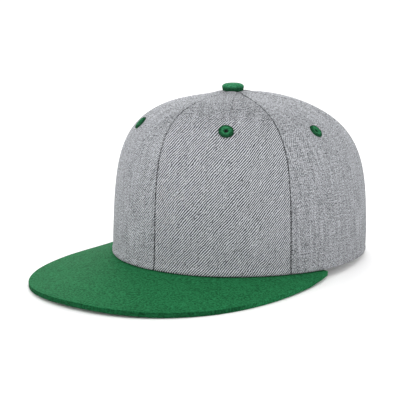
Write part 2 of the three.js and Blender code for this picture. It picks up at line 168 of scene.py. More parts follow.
class CapBrim(bpy.types.PropertyGroup):
    """Sizes of the flat brim."""

    wall: length("Thickness", "Thickness of the brim", 0.0032)
    reach: length("Length", "From the front of the rim to the tip", 0.078)
    half_width: length("Half width", "Half the width of the brim", 0.0906)
    widest_forward: length("Widest forward", "Where the brim is widest, before the ears", 0.0626)
    outline_power: share("Outline power", "2 is an ellipse, and more is fuller", 2.26)
    rim_end: angle("Rim end", "How far back along the rim the brim is sewn", 79)
    outline_end: angle("Outline end", "How far back the brim's outline turns", 110.5)
    fall: share("Fall", "How much the brim falls towards its tip", 0.046)
    droop: length("Droop", "How far the sides hang below the middle", 0.0057)
    side_drop: length("Side drop", "How far the sides are bent down beside the crown", 0.0014)
    side_drop_at: angle("Side drop at", "The outline's turn where they are bent down most", 97)
    side_drop_width: angle("Side drop width", "How far round the outline the bend fades", 13)
    ripple: length("Ripple", "Height of the wide waves in the brim", 0.00025)
    ripple_noise: share("Ripple noise", "How close together the wide waves lie", 30)
    edge_round: length("Edge round", "Radius of the brim's corners", 0.0005)
    # Painted shade: the strip on the brim's edge is darkened to stand for the shade it lies in, most at the
    # front and fading towards the ends.
    strip: share("Strip", "How dark the strip on the edge is", 0.72)
    strip_end: angle("Strip end", "The dark strip on the edge starts to fade this far from the front", 60)
    strip_fade: angle("Strip fade", "The dark strip is gone this much further on", 18)
    columns: count("Columns", "Faces along the brim", 150)


class CapTrim(bpy.types.PropertyGroup):
    """Sizes of the eyelets, the button and the sweatband."""

    up: share("Up", "An eyelet's place up its panel", 0.585)
    eyelet: length("Eyelet", "Outer radius of an eyelet", 0.0051)
    eyelet_hole: length("Eyelet hole", "Radius of an eyelet's hole", 0.0011)
    eyelet_thread: length("Eyelet thread", "Thickness of the thread inside the hole", 0.0012)
    eyelet_raise: length("Eyelet raise", "Height of the thread over the cloth", 0.0013)
    eyelet_depth: share("Eyelet depth", "How far through the cloth the thread goes", 0.9)
    eyelet_fullness: share("Eyelet fullness", "1 is a round ring, and less is a fuller one", 0.85)
    stitches: count("Stitches", "Stitches round an eyelet", 30)
    stitch_fullness: share("Stitch fullness", "1 is a round stitch, and less is a fuller one", 0.6)
    stitch_groove: share("Stitch groove", "Depth of the grooves between stitches beside the ring", 0.14)
    stitch_uneven: share("Stitch uneven", "How unevenly the stitches are drawn in", 0.05)
    button: length("Button", "Radius of the button", 0.0077)
    button_height: length("Button height", "Height of the button over the cloth", 0.0058)
    skirt: length("Skirt", "Height of the button's side below its dome", 0.0032)
    dome_fullness: share("Dome fullness", "1 is a round dome, and less is a fuller one", 0.66)
    gather: length("Gather", "Depth of the gathers in the button's side", 0.00014)
    # The shade round the button's foot is painted on its cloth.
    foot_shade: length("Foot shade", "The button's foot is shaded up to this height", 0.0022)
    foot_fade: length("Foot fade", "The shade fades over this much more", 0.0018)
    rivet: length("Rivet", "Radius of the rivet's plate inside the crown", 0.006)
    rivet_wall: length("Rivet wall", "Thickness of that plate", 0.001)
    rivet_round: length("Rivet round", "Height of the slope round that plate's edge", 0.0003)
    band: length("Sweatband", "Height of the sweatband", 0.032)
    band_wall: length("Sweatband wall", "Thickness of the sweatband", 0.0013)
    band_gap: length("Sweatband gap", "Gap between the crown and the sweatband", 0.0005)
    band_puff: length("Sweatband puff", "How far the band's middle swells inwards", 0.0003)
    band_puff_edge: length("Sweatband puff edge", "The swelling starts over this much of its height", 0.006)
    band_columns: count("Sweatband columns", "Faces along the sweatband", 200)
    band_rows: count("Sweatband rows", "Faces up the sweatband", 16)


class CapCloth(bpy.types.PropertyGroup):
    """Colours and weave of the materials."""

    heather_light: colour("Heather light", "Colour of the pale yarn", (0.43, 0.442, 0.465))
    heather_dark: colour("Heather dark", "Colour of the dark yarn", (0.021, 0.0225, 0.026))
    # Partly painted shade: the dark line along each seam stands for the shadow in its groove as well as the
    # seam's darker yarn ends.
    seam: colour("Seam", "Colour in the depth of a seam", (0.02, 0.021, 0.023))
    green_light: colour("Green light", "Lighter yarn of the brim", (0.0185, 0.162, 0.06))
    green_dark: colour("Green dark", "Darker yarn of the brim", (0.0042, 0.05, 0.0165))
    # Painted light: the button is covered with the brim's cloth, and these paler colours stand for the light
    # its top catches.
    lit_button_light: colour("Button light", "Lighter yarn of the button", (0.043, 0.215, 0.105))
    lit_button_dark: colour("Button dark", "Darker yarn of the button", (0.014, 0.1, 0.04))
    # Painted shade: the crown's inner face gets this dark colour to stand for the shade inside the crown,
    # seen through the eyelets' holes and the opening.
    lining: colour("Lining", "Colour of the crown's inner face", (0.07, 0.073, 0.08))
    inner_shade_share: share("Lining share", "How much the lining hides the heather", 0.85)
    thread_light: colour("Thread light", "Lighter parts of the eyelets' thread", (0.036, 0.2, 0.085))
    thread_dark: colour("Thread dark", "Darker parts of the eyelets' thread", (0.01, 0.075, 0.03))
    tape: colour("Tape", "Colour of the sweatband", (0.3, 0.31, 0.325))
    plastic: colour("Plastic", "Colour of the snap straps", (0.009, 0.1, 0.035))
    wale: length("Wale", "Distance between two diagonal ribs of the crown's twill", 0.00131)
    wale_tilt: angle("Wale tilt", "Tilt of the crown's ribs from level", 49)
    green_wale: length("Green wale", "Distance between two ribs of the green cloth", 0.0012)
    green_tilt: angle("Green tilt", "Turn of the green cloth's ribs", 50)
    # Painted shade, not wear: cloth painted as lying in shade keeps this share of its colour, on the brim's
    # edge strip, round the button's foot and at the eyelet stitches' ends.
    shade: share("Shade", "How bright worn edges and stitches' outer ends are beside the rest", 0.35)
    rib_contrast: share("Rib contrast", "How much paler the ribs are than the gaps between them", 2.2)
    rib_breaks: share("Rib breaks", "How much each rib breaks up into dashes", 5.0)
    side_rib: share("Side ribs", "How clear the ribs of the side and back panels are", 0.12)
    far_rib: share("Far front ribs", "How clear the ribs of the wearer's right front panel are", 0.35)
    # Painted shade: the top of the wearer's left front panel and the side and back panels near the rim are
    # darkened for how the light falls on them.
    top_dim: share("Top dim", "How much darker the top of the wearer's left front panel is", 0.09)
    low_dim: share("Low dim", "How much darker the side and back panels are near the rim", 0.05)
    # These two widths belong to the seams' dark lines, which are partly painted shade.
    centre_thin: share("Centre thin", "How much thinner the front seam's dark line gets at the top", 5)
    side_wide: share("Side wide", "How much wider the other seams' dark lines get at the top", 0.4)
    tone: share("Tone", "How much of the heather is pale yarn", 0.5)


class CapStage(bpy.types.PropertyGroup):
    """The camera and the lights."""

    azimuth: angle("Azimuth", "Camera's turn to the wearer's left of the front", 37.28)
    elevation: angle("Elevation", "Camera's height over the table", 11.03)
    distance: length("Distance", "From the camera to its aim", 0.8337)
    lens: share("Lens", "Focal length in mm on a sensor 36 mm wide", 104.75)
    aim_forward: length("Aim forward", "How far the aim lies before the line between the ears", 0.00533)
    aim_right: length("Aim right", "How far the aim lies to the right of the ears' middle", -0.02529)
    aim_height: length("Aim height", "Height of the aim over the table", 0.0418)
    sky: share("Sky", "Strength of the white sky before the cap", 2.35)
    top: share("Top light", "Strength of the soft light overhead", 0.95)
    back: share("Back light", "Strength of the low light behind the cap", 3.5)
    back_left: share("Back left light", "Strength of the low light behind the picture's left", 1.16)
    back_right: share("Back right light", "Strength of the low light behind the picture's right", 1.25)
    left: share("Left light", "Strength of the low light at the picture's left", 1.03)
    right: share("Right light", "Strength of the low light at the picture's right", 0.5)
    top_spread: angle("Top spread", "How wide the soft light overhead looks", 60)
    low_spread: angle("Low spread", "How wide each low light looks", 40)
    paper: colour("Paper", "Colour of the floor", (0.8, 0.8, 0.8))


FRONT, SIDE, BACK = "front", "side", "back"
SEAMS = {FRONT: (0, 61.5), SIDE: (61.5, 121), BACK: (121, 180)}
LEFT, RIGHT = 1, -1
SIDE_NAMES = {LEFT: "left", RIGHT: "right"}
# How the crown's outline rises at the front, side and back: out^out_power + rise^rise_power = 1, less a lean
OUTLINE = {FRONT: (3.08, 5.3, 0.047), SIDE: (2.09, 4.57, 0.011), BACK: (2.63, 2.96, -0.025)}
# How far across its panel each eyelet sits, from the seam nearer the brim
EYELET_ACROSS = {FRONT: 0.53, SIDE: 0.44, BACK: 0.5}
# Parts of the way up the crown where the cloth's look starts to change, and how long each change is
SEAM_CHANGE = (0.78, 0.1)
RIB_END = (0.57, 0.1)
# Where the painted shade starts on the top of the left front panel, and where it fades out up the side and
# back panels
TOP_DIM = (0.58, 0.15)
LOW_DIM = (0.0, 0.45)
# Up to this turn from the front, the nearest seam is the one between the two front panels
CENTRE_TURN = math.radians(20)
# Height over the table of a point well inside the crown
INSIDE_HEIGHT = 0.03
# The arched opening is cut out of the faces whose middles lie up to this much over its top
ARCH_MARGIN = 0.004
# Points as near as this are joined, and points as near as this to a cut lie on it
SAME_PLACE = 1e-6
ON_PLANE = 1e-7
# A plain material's darkest and lightest grain, beside its colour
GRAIN_TONES = (0.72, 1.25)
# Where each low light stands: how high, how far to the picture's left and how far behind the cap
LOW_LIGHTS = {
    "back": (0.35, 0, 1),
    "back_left": (0.5, 1, 1),
    "back_right": (0.5, -1, 1),
    "left": (0.4, 1, 0),
    "right": (0.4, -1, 0),
}


def mix(low, high, part):
    """The number at that part of the way from low to high."""
    return low + (high - low) * part


def smooth(part):
    """A share from 0 to 1 that starts and ends gently."""
    part = min(max(part, 0.0), 1.0)
    return part * part * (3 - 2 * part)


def fade(value, start, width):
    """0 up to the start, and from there gently up to 1 over the width."""
    return smooth((value - start) / width)


def hill(distance, width):
    """A gentle hill that is 1 at its middle and has all but gone at twice its width."""
    return math.exp(-((distance / width) ** 2))


def ears_y():
    """Where the line between the ears lies, from the brim's tip in the frame."""
    return BRIM_TIP + bpy.context.scene.cap_crown.front_reach + bpy.context.scene.cap_brim.reach


def crown_axis():
    """Where the crown's axis stands, seen from above."""
    return Vector((0, ears_y() - bpy.context.scene.cap_crown.top_forward))


def turn_of(point):
    """The turn of a point of the crown round its axis."""
    return math.atan2(point[0], crown_axis().y - point[1])


def rim_point(turn, inset=0.0):
    """The rim seen from above. Turn 0 is the front, and a quarter turn is the wearer's left."""
    size = bpy.context.scene.cap_crown
    reach = size.front_reach if math.cos(turn) > 0 else size.back_reach
    point = Vector((size.half_width * math.sin(turn), -reach * math.cos(turn)))
    outward = Vector((math.sin(turn) / size.half_width, -math.cos(turn) / reach)).normalized()
    return point - outward * inset + Vector((0, ears_y()))


def rim_height(turn):
    """Height of the rim over the table."""
    size = bpy.context.scene.cap_crown
    part = max(0.0, 1 - abs(turn) / size.flat_from)
    return size.front_rise * math.sin(part * math.pi / 2) ** size.rise_power


def flat_side(turn):
    """How near the axis a hexagon's side comes at that turn, as a share of its corners' distance."""
    degrees = min(abs(math.degrees(turn)), 180)
    low, high = next(seams for seams in SEAMS.values() if degrees <= seams[1])
    half = math.radians(30)
    return math.cos(half) / math.cos(half * (2 * (degrees - low) / (high - low) - 1))


class Meridian:
    """The crown's outer face at one turn, from the rim up to the hole under the button."""

    STEPS = 150

    def __init__(self, turn):
        size = bpy.context.scene.cap_crown
        along = math.cos(turn) ** 2
        ends = zip(OUTLINE[SIDE], OUTLINE[FRONT if math.cos(turn) > 0 else BACK])
        out_power, rise_power, lean = (mix(side, end, along) for side, end in ends)
        axis = crown_axis()
        rim = rim_point(turn) - axis
        hollow = size.flatness * (1 - flat_side(turn))
        top_reach = rim.length * (1 - lean) * (1 - hollow)
        last = math.acos((size.top_hole / top_reach) ** (out_power / 2))
        self.points = []
        for step in range(self.STEPS + 1):
            climb = last * smooth(step / self.STEPS)
            rise = math.sin(climb) ** (2 / rise_power)
            out = math.cos(climb) ** (2 / out_power) * (1 - lean * rise) * (1 - hollow * rise**2)
            height = mix(rim_height(turn), size.height, rise) + size.peak * (1 - out) ** size.peak_power
            self.points.append(Vector((*(axis + rim * out), height)))
        self.along = [0.0]
        for before, after in zip(self.points, self.points[1:]):
            self.along.append(self.along[-1] + (after - before).length)

    def at(self, part):
        """The point at that part of the way up, and its distance up from the rim."""
        distance = self.along[-1] * min(max(part, 0.0), 1.0)
        after = min(max(bisect.bisect_left(self.along, distance), 1), self.STEPS)
        step = self.along[after] - self.along[after - 1]
        within = (distance - self.along[after - 1]) / step if step else 0
        return self.points[after - 1].lerp(self.points[after], within), distance


def crown_place(turn, part):
    """A point of the crown and its outward direction there."""
    step = 0.004
    point = Meridian(turn).at(part)[0]
    across = Meridian(turn + step).at(part)[0] - Meridian(turn - step).at(part)[0]
    along = Meridian(turn).at(part + step)[0] - Meridian(turn).at(part - step)[0]
    return point, across.cross(along).normalized()


def panel_turns(kind, side):
    """The two seams of a panel, from the picture's left to its right as seen from outside."""
    return sorted(math.radians(seam) * side for seam in SEAMS[kind])


def eyelet_place(kind, side):
    """Where a panel's eyelet sits and which way it faces."""
    trim = bpy.context.scene.cap_trim
    low, high = (math.radians(seam) for seam in SEAMS[kind])
    return crown_place(mix(low, high, EYELET_ACROSS[kind]) * side, trim.up)


def cut_out(bm, faces, planes):
    """Cuts away what lies inside all of the planes, each a point and an outward direction."""
    inside = list(faces)
    for point, outward in planes:
        parts = {part for face in inside for part in (face, *face.edges, *face.verts)}
        cut = bmesh.ops.bisect_plane(bm, geom=list(parts), dist=ON_PLANE, plane_co=point, plane_no=outward)
        inside = [
            part
            for part in cut["geom"]
            if isinstance(part, bmesh.types.BMFace) and (part.calc_center_median() - point).dot(outward) < 0
        ]
    bmesh.ops.delete(bm, geom=inside, context="FACES")


def cut_hole(bm, centre, direction, radius, sides, reach):
    """Cuts a hole that runs in that direction, out of the faces whose middles lie within reach."""
    near = [face for face in bm.faces if (face.calc_center_median() - centre).length < reach]
    first = direction.orthogonal().normalized()
    turns = [Quaternion(direction, math.tau * step / sides) @ first for step in range(sides)]
    cut_out(bm, near, [(centre + outward * radius, outward) for outward in turns])


def arch_planes():
    """Planes round the arched opening, which runs along Y."""
    opening = bpy.context.scene.cap_opening
    for step in range(opening.sides + 1):
        climb = math.pi * step / opening.sides
        point = Vector((opening.half_width * math.cos(climb), 0, opening.height * math.sin(climb)))
        outward = Vector((math.cos(climb) / opening.half_width, 0, math.sin(climb) / opening.height))
        yield point, outward.normalized()


def split_wide_faces(bm):
    """Cuts the faces with more than four corners into triangles."""
    bmesh.ops.triangulate(bm, faces=[face for face in bm.faces if len(face.verts) > 4])


def close_up(bm):
    """Joins the points that coincide and turns every face outwards."""
    bmesh.ops.remove_doubles(bm, verts=bm.verts, dist=SAME_PLACE)
    bmesh.ops.recalc_face_normals(bm, faces=bm.faces)


def grid_step(place, steps):
    """Which line of a new grid that part of a place lies on, from 0."""
    return round((place + 0.5) * steps)


def outward_of(vert):
    """A vertex's normal, turned away from the inside of the crown."""
    inside = Vector((0, ears_y(), INSIDE_HEIGHT))
    return vert.normal if vert.normal.dot(vert.co - inside) > 0 else -vert.normal


def arch_distance(point):
    """Distance from the opening's edge, measured square to Y."""
    opening = bpy.context.scene.cap_opening
    across, up = point.x / opening.half_width, point.z / opening.height
    reach = math.hypot(across, up)
    slope = math.hypot(across / opening.half_width, up / opening.height) / reach
    return (reach - 1) / slope


def quarter_roll(distance, radius):
    """How far a cloth edge has turned in, at a distance from it."""
    past = max(0.0, 1 - max(distance, 0.0) / radius)
    return radius * (1 - math.sqrt(1 - past * past))


def give_wall(bm, inner_place):
    """Turns a sheet into a wall whose inner points are worked out from the outer ones."""
    everything = [*bm.verts, *bm.edges, *bm.faces]
    made = bmesh.ops.extrude_face_region(bm, geom=everything, use_keep_orig=True)
    for part in made["geom"]:
        if isinstance(part, bmesh.types.BMVert):
            part.co = inner_place(part)
    bmesh.ops.recalc_face_normals(bm, faces=bm.faces)


def make_piece(bm, name, material, nodes, sharp):
    """Makes an object of a finished mesh, which stands for the named CAD nodes."""
    mesh = bpy.data.meshes.new(name)
    bm.to_mesh(mesh)
    bm.free()
    mesh.shade_smooth()
    mesh.set_sharp_from_angle(angle=math.radians(sharp))
    mesh.materials.append(material)
    piece = bpy.data.objects.new(name, mesh)
    bpy.context.scene.collection.objects.link(piece)
    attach(piece, BODY)
    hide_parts(*nodes)
    return piece


def seam_plane(turn):
    """A point on the upright plane that holds a seam, and the direction across it."""
    axis = crown_axis()
    out = rim_point(turn) - axis
    return axis, Vector((-out.y, out.x)).normalized()


def panel_places(turns):
    """A panel's grid from the rim up: each point, and how far it lies across and up the flat cloth."""
    size = bpy.context.scene.cap_crown
    meridians = []
    for column in range(size.columns + 1):
        part = column / size.columns
        crowded = mix(part, (1 - math.cos(part * math.pi)) / 2, size.column_crowding)
        meridians.append(Meridian(mix(*turns, crowded)))
    rows = []
    for row in range(size.rows + 1):
        points = [meridian.at((row / size.rows) ** size.row_crowding) for meridian in meridians]
        across = [0.0]
        for (before, _), (after, _) in zip(points, points[1:]):
            across.append(across[-1] + (after - before).length)
        middle = across[size.columns // 2]
        rows.append([(point, reach - middle, climbed) for (point, climbed), reach in zip(points, across)])
    return rows


def panel_sheet(turns):
    """A panel's outer face, whose vertices keep their even place, their normal and their flat place.

    A flat place is how far across and up the flat cloth it lies, and how far from the nearer seam.
    """
    size = bpy.context.scene.cap_crown
    planes = [seam_plane(turn) for turn in turns]
    bm = bmesh.new()
    base = bm.verts.layers.float_vector.new("base")
    normal = bm.verts.layers.float_vector.new("normal")
    flat = bm.verts.layers.float_vector.new("flat")
    bmesh.ops.create_grid(bm, x_segments=size.columns, y_segments=size.rows, size=0.5)
    places = panel_places(turns)
    for vert in bm.verts:
        row = grid_step(vert.co.y, size.rows)
        place, across, climbed = places[row][grid_step(vert.co.x, size.columns)]
        reaches = [abs((place.xy - axis).dot(out)) for axis, out in planes]
        vert[flat] = Vector((across, climbed, min(reaches)))
        vert.co = place
        for (_, out), reach, inward in zip(planes, reaches, (1, -1)):
            push = max(0.0, 1 - reach / size.seam_reach) * size.seam_gap / 2
            vert.co += Vector((*(out * inward * push), 0))
    bm.normal_update()
    for vert in bm.verts:
        vert[base] = vert.co
        vert[normal] = outward_of(vert)
    return bm


def cut_panel(bm, kind, side):
    """Cuts the eyelet's hole and, in a back panel, its half of the arched opening."""
    trim = bpy.context.scene.cap_trim
    eyelet, facing = eyelet_place(kind, side)
    cut_hole(bm, eyelet, facing, trim.eyelet_hole + trim.eyelet_thread / 2, sides=16, reach=0.008)
    if kind == BACK:
        top = bpy.context.scene.cap_opening.height + ARCH_MARGIN
        back = [face for face in bm.faces if face.calc_center_median().z < top]
        cut_out(bm, back, arch_planes())
    split_wide_faces(bm)


def cloth_lift(point, eyelet, climbed, to_seam, to_edge):
    """How far the cloth stands out from the crown's even face at a point of it."""
    size = bpy.context.scene.cap_crown
    lift = noise.noise(point * size.soft_waves) * size.softness
    lift -= quarter_roll(to_seam, size.seam_roll)
    lift -= size.seam_dip * hill(to_seam, size.seam_dip_width)
    drift = size.pucker_drift * noise.noise(point * size.pucker_noise)
    wave = math.sin(climbed * size.pucker_waves + drift)
    lift += size.pucker * wave * hill(to_seam, size.pucker_width)
    lift += size.hem_rise * smooth((size.hem - to_edge) / size.hem_step + 0.5)
    lift -= quarter_roll(to_edge, size.seam_roll)
    lift -= size.eyelet_dip * hill((point - eyelet).length, size.eyelet_dip_width)
    behind = fade(abs(turn_of(point)), size.tuck_from, size.tuck_fade)
    lift -= size.tuck * behind * math.exp(-climbed / size.tuck_height)
    from_axis = (point.xy - crown_axis()).length
    return lift + size.collar * hill(from_axis - size.collar_reach, size.collar_width)


def paint_panel(bm, kind, side):
    """Lays the flat cloth on a panel, and notes what its material reads at each vertex."""
    size = bpy.context.scene.cap_crown
    cloth = bpy.context.scene.cap_cloth
    base = bm.verts.layers.float_vector["base"]
    flat = bm.verts.layers.float_vector["flat"]
    uvs = bm.loops.layers.uv.new("cloth")
    seam = bm.verts.layers.float.new("seam")
    rib = bm.verts.layers.float.new("rib")
    dim = bm.verts.layers.float.new("dim")
    whole = Meridian(0).along[-1]
    clear = cloth.side_rib if kind != FRONT else 1.0 if side == LEFT else cloth.far_rib
    for face in bm.faces:
        for loop in face.loops:
            across, climbed, _ = loop.vert[flat]
            tight = fade(climbed / whole, size.stretch_from, 1 - size.stretch_from)
            rim = rim_height(turn_of(loop.vert[base]))
            loop[uvs].uv = (across, climbed * (1 - size.stretch * tight) + rim)
    for vert in bm.verts:
        _, climbed, to_seam = vert[flat]
        up = climbed / whole
        high = fade(up, *SEAM_CHANGE)
        # The seams' dark lines, partly painted shade, thin out at the top of the front seam and widen at the
        # top of the others
        centre_seam = kind == FRONT and abs(turn_of(vert[base])) < CENTRE_TURN
        vert[seam] = to_seam * (1 + cloth.centre_thin * high if centre_seam else 1 - cloth.side_wide * high)
        vert[rib] = clear * (1 - fade(up, *RIB_END))
        # Painted shade, darker towards the rim of the side and back panels and at the top of the wearer's
        # left front panel
        if kind != FRONT:
            vert[dim] = cloth.low_dim * (1 - fade(up, *LOW_DIM))
        elif side == LEFT:
            vert[dim] = cloth.top_dim * fade(up, *TOP_DIM)


def panel_mesh(kind, side):
    """One crown panel with its seams turned in, its hem, its eyelet's hole and the back opening."""
    size = bpy.context.scene.cap_crown
    eyelet, _ = eyelet_place(kind, side)
    bm = panel_sheet(panel_turns(kind, side))
    base = bm.verts.layers.float_vector["base"]
    normal = bm.verts.layers.float_vector["normal"]
    flat = bm.verts.layers.float_vector["flat"]
    lining = bm.verts.layers.float.new("lining")
    cut_panel(bm, kind, side)
    for vert in bm.verts:
        point, outward = Vector(vert[base]), Vector(vert[normal]).normalized()
        _, climbed, to_seam = vert[flat]
        to_edge = min(climbed, arch_distance(point)) if kind == BACK else climbed
        vert.co = point + outward * cloth_lift(point, eyelet, climbed, to_seam, to_edge)
        vert.co.z = max(vert.co.z, 0)
    paint_panel(bm, kind, side)

    def inner(vert):
        # The inner face carries the crown's painted inner shade
        vert[lining] = 1
        place = Vector(vert[base]) - Vector(vert[normal]).normalized() * size.wall
        if kind == BACK:
            place.z = max(place.z, 0)
        return place

    give_wall(bm, inner)
    return bm


def brim_sag(point):
    """How high the brim lies at a point of its plan, before it is set on the table."""
    size = bpy.context.scene.cap_brim
    return size.fall * (point.y - ears_y()) - size.droop * (point.x / size.half_width) ** 2


def brim_outline(turn):
    """The brim's outline seen from above, by its own turn from the front."""
    size = bpy.context.scene.cap_brim
    crown = bpy.context.scene.cap_crown
    power = 2 / size.outline_power
    tip = crown.front_reach + size.reach
    across = math.copysign(abs(math.sin(turn)) ** power, turn)
    ahead = math.copysign(abs(math.cos(turn)) ** power, math.cos(turn))
    y = -size.widest_forward - (tip - size.widest_forward) * ahead
    return Vector((size.half_width * across, y + ears_y()))


def brim_section(size):
    """Places round the brim's section: how far out, how far past the flat, and how high over its middle."""
    flats = 20
    rounds = 4
    half, radius = size.wall / 2, size.edge_round
    upper = [(step / flats, 0.0, half) for step in range(flats + 1)]
    turns = [math.pi / 2 * step / rounds for step in range(1, rounds + 1)]
    upper += [(1.0, radius * math.sin(turn), half - radius * (1 - math.cos(turn))) for turn in turns]
    return upper + [(1.0, radius, 0.0)] + [(out, beyond, -high) for out, beyond, high in reversed(upper)]


def brim_mesh():
    """The flat brim, closed round its edge and along its root."""
    size = bpy.context.scene.cap_brim
    wall = bpy.context.scene.cap_crown.wall
    clearance = bpy.context.scene.cap_opening.clearance
    parts = [column / size.columns for column in range(size.columns + 1)]
    edges = [brim_outline(mix(-size.outline_end, size.outline_end, part)) for part in parts]
    lowest = min(brim_sag(edge) for edge in edges)
    section = brim_section(size)
    rows = len(section) - 1
    bm = bmesh.new()
    bound = bm.verts.layers.float.new("bound")
    bmesh.ops.create_grid(bm, x_segments=size.columns, y_segments=rows, size=0.5)
    for vert in bm.verts:
        column = grid_step(vert.co.x, size.columns)
        out, beyond, high = section[grid_step(vert.co.y, rows)]
        rim_turn = mix(-size.rim_end, size.rim_end, parts[column])
        turn = abs(mix(-size.outline_end, size.outline_end, parts[column]))
        root = rim_point(rim_turn, wall)
        outward = edges[column] - root
        corner = min(size.edge_round, outward.length / 2)
        outward.normalize()
        edge = edges[column] - outward * corner
        root_height = rim_height(rim_turn) - clearance - size.wall / 2
        edge_height = min(root_height, brim_sag(edge) - lowest + size.wall / 2)
        edge_height -= size.side_drop * hill(turn - size.side_drop_at, size.side_drop_width)
        round_the_edge = beyond / size.edge_round
        plan = root.lerp(edge, out) + outward * corner * round_the_edge
        ripple = size.ripple * noise.noise(Vector((*plan, 0)) * size.ripple_noise) * smooth(out * 2)
        height = mix(root_height, edge_height, out) + high + ripple
        vert.co = Vector((*plan, max(height, 0)))
        # Painted shade on the rounded edge, fading out towards the brim's ends
        vert[bound] = size.strip * round_the_edge * (1 - fade(turn, size.strip_end, size.strip_fade))
    bmesh.ops.remove_doubles(bm, verts=bm.verts, dist=SAME_PLACE)
    bmesh.ops.holes_fill(bm, edges=[edge for edge in bm.edges if edge.is_boundary], sides=0)
    split_wide_faces(bm)
    bmesh.ops.recalc_face_normals(bm, faces=bm.faces)
    return bm


def spun(profile, steps):
    """A closed shape turned about Z from radius and height pairs that start and end on the axis."""
    bm = bmesh.new()
    verts = [bm.verts.new((radius, 0, height)) for radius, height in profile]
    edges = [bm.edges.new(pair) for pair in zip(verts, verts[1:])]
    bmesh.ops.spin(
        bm,
        geom=[*verts, *edges],
        cent=(0, 0, 0),
        axis=(0, 0, 1),
        angle=math.tau,
        steps=steps,
        use_merge=True,
    )
    close_up(bm)
    return bm


def button_profile(trim, low, foot):
    """The button's section from the middle of its rivet, out and up to the middle of its dome."""
    shank = bpy.context.scene.cap_crown.top_hole - bpy.context.scene.cap_opening.clearance
    plate = low + trim.rivet_wall
    slope, seat = 0.0005, 0.0006
    profile = [(0, low), (trim.rivet - slope, low), (trim.rivet, low + trim.rivet_round)]
    profile += [(trim.rivet, plate), (shank, plate), (shank, foot + seat)]
    # The cloth's turned edge, by how far in from the side and up from the foot each point lies
    turned = [(0.0016, 0.0002), (0.0009, 0), (0.0006, 0.0003)]
    turned += [(0.0003, trim.skirt * 0.4), (0.0001, trim.skirt * 0.7)]
    profile += [(trim.button - inward, foot + up) for inward, up in turned]
    steps = 16
    for step in range(steps):
        climb = math.pi / 2 * step / steps
        rise = (trim.button_height - trim.skirt) * math.sin(climb)
        profile.append((trim.button * math.cos(climb) ** trim.dome_fullness, foot + trim.skirt + rise))
    return [*profile, (0, foot + trim.button_height)]


def button_mesh():
    """The covered button, with a slightly gathered skirt, and its rivet through the crown."""
    trim = bpy.context.scene.cap_trim
    low, high = BUTTON_BOX
    foot = high.z - trim.button_height
    just_under = 0.0001
    bm = spun(button_profile(trim, low.z, foot), steps=72)
    bound = bm.verts.layers.float.new("bound")
    for vert in bm.verts:
        up = vert.co.z - foot
        # Painted shade round the button's foot, fading out upwards
        vert[bound] = 1 - fade(up, trim.foot_shade, trim.foot_fade)
        if vert.co.xy.length > bpy.context.scene.cap_crown.top_hole and up > -just_under:
            side = Vector((*vert.co.xy.normalized(), 0))
            vert.co += side * trim.gather * smooth(1.6 - up / trim.skirt) * noise.noise(side * 7)
    centre = (low + high) / 2
    bmesh.ops.translate(bm, verts=bm.verts, vec=(centre.x, centre.y, 0))
    return bm


def eyelet_mesh(kind, side):
    """A sewn eyelet: radial stitches over the cloth's edge, drawn into the hole."""
    trim = bpy.context.scene.cap_trim
    wall = bpy.context.scene.cap_crown.wall
    crest = (trim.eyelet + trim.eyelet_hole) / 2
    half = (trim.eyelet - trim.eyelet_hole) / 2
    thread = trim.eyelet_hole + trim.eyelet_thread / 2
    # The front pair is sewn a little differently from the rest
    variety = 1 if kind == FRONT else 0
    faces_per_stitch, sections = 6, 18
    bm = bmesh.new()
    bound = bm.verts.layers.float.new("bound")
    bmesh.ops.create_grid(bm, x_segments=trim.stitches * faces_per_stitch, y_segments=sections, size=0.5)
    for vert in bm.verts:
        turn = math.tau * (vert.co.x + 0.5)
        climb = math.tau * (vert.co.y + 0.5)
        stitch = abs(math.sin(turn * trim.stitches / 2)) ** trim.stitch_fullness
        uneven = noise.noise(Vector((math.cos(turn) * 3, math.sin(turn) * 3, variety)))
        grow = 1 - trim.stitch_groove * (1 - stitch) + trim.stitch_uneven * uneven
        out, high = math.cos(climb), math.sin(climb)
        reach = math.copysign(abs(out) ** trim.eyelet_fullness, out)
        radius = crest + half * reach * (grow if out > 0 else 1)
        if high > 0:
            height = trim.eyelet_raise * high * grow
            # The stitches get painted shade at both ends, at the ring's foot and down towards the hole, and
            # stay lighter on their crest
            vert[bound] = max(fade(out, -0.05, 0.35), 1 - fade(out, -0.95, 0.4))
        else:
            height = wall * trim.eyelet_depth * high
            radius = mix(radius, thread, min(1, -high * 1.6))
            # Painted shade down inside the hole
            vert[bound] = 1
        vert.co = Vector((radius * math.cos(turn), radius * math.sin(turn), height))
    close_up(bm)
    stand_on(bm, *eyelet_place(kind, side))
    return bm


def stand_on(bm, centre, facing):
    """Sets a shape made about Z on a point, facing that way."""
    turned = facing.to_track_quat("Z", "Y").to_matrix().to_4x4()
    bmesh.ops.transform(bm, matrix=Matrix.Translation(centre) @ turned, verts=bm.verts)


def back_turn(distance, inset):
    """The turn at a distance along the rim from the middle of the back, towards the wearer's left."""
    step = 0.0005
    turn = math.pi
    walked = 0.0
    while walked < abs(distance):
        after = turn - math.copysign(step, distance) / bpy.context.scene.cap_crown.back_reach
        walked += (rim_point(turn, inset) - rim_point(after, inset)).length
        turn = after
    return turn


def opening_edge():
    """The opening's edge lies this far along the rim from the middle of the back."""
    opening = bpy.context.scene.cap_opening
    bend = opening.half_width / bpy.context.scene.cap_crown.back_reach
    return opening.half_width * (1 + bend**2 / 6)


def strap_levels():
    """How deep the outer and the inner strap lie inside the rim."""
    opening = bpy.context.scene.cap_opening
    outer = bpy.context.scene.cap_crown.inner_room + opening.clearance
    return outer, outer + opening.strap_wall + opening.clearance


